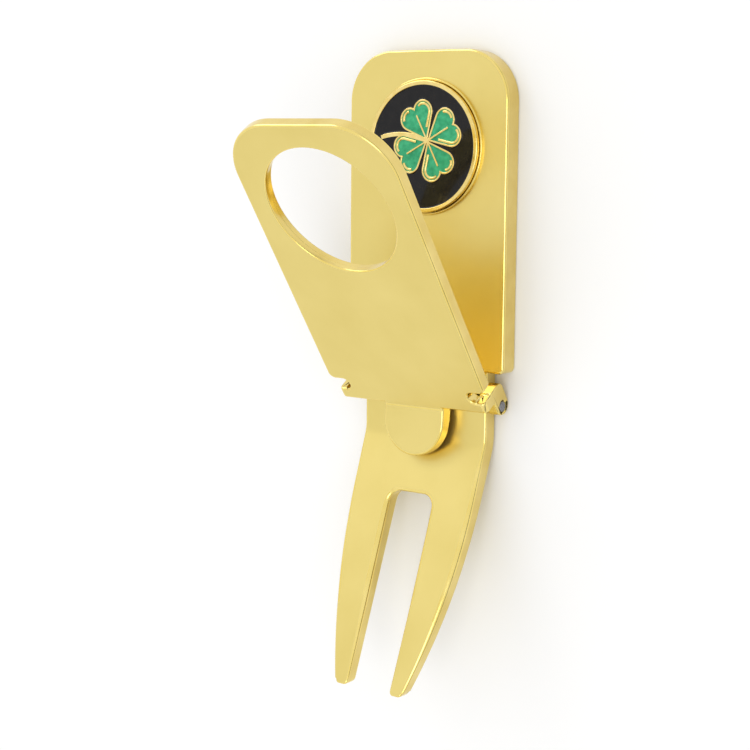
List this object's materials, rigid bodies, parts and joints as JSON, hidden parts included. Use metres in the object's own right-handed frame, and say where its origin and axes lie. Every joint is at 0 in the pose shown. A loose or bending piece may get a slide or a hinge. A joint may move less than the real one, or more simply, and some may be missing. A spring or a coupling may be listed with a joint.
{
  "type": "divot repair tool",
  "caption": "Forked golf divot tool with a hinged spring clip that opens over an enamelled, magnetic ball marker.",
  "frame": {"origin": "on the flat back of the head, on the axis of the round ball marker", "axes": "+X across the tool to the right, +Y along it from the fork to the round end of the head, +Z out of the face that carries the marker"},
  "size_m": [0.035, 0.1163, 0.0424],
  "materials": {
    "gold_satin": "satin gold plating with polished edges",
    "gold_polished": "polished gold plating",
    "magnet": "nickel plated magnet",
    "pin_steel": "drawn steel",
    "spring_steel": "bright spring wire",
    "enamel_black": "glossy hard enamel",
    "enamel_green": "glossy hard enamel"
  },
  "bodies": {
    "base": {"base_plate": "gold_satin", "marker_magnet": "magnet", "hinge_spring": "spring_steel"},
    "clip": {"clip_cover": "gold_satin", "hinge_pin": "pin_steel"},
    "marker": {"marker_coin": "gold_polished", "black_enamel": "enamel_black", "leaf_enamel_1": "enamel_green", "leaf_enamel_2": "enamel_green", "leaf_enamel_3": "enamel_green", "leaf_enamel_4": "enamel_green"}
  },
  "joints": [
    {"name": "clip_hinge", "type": "hinge", "parent": "base", "child": "clip", "pos_m": [0, -0.0468, 0.0021], "axis": [1, 0, 0], "range_deg": [-34.5, 1], "deforming": ["hinge_spring"]},
    {"name": "marker_lift", "type": "slide", "parent": "base", "child": "marker", "axis": [0, 0, 1], "range_m": [0, 0.007]}
  ]
}
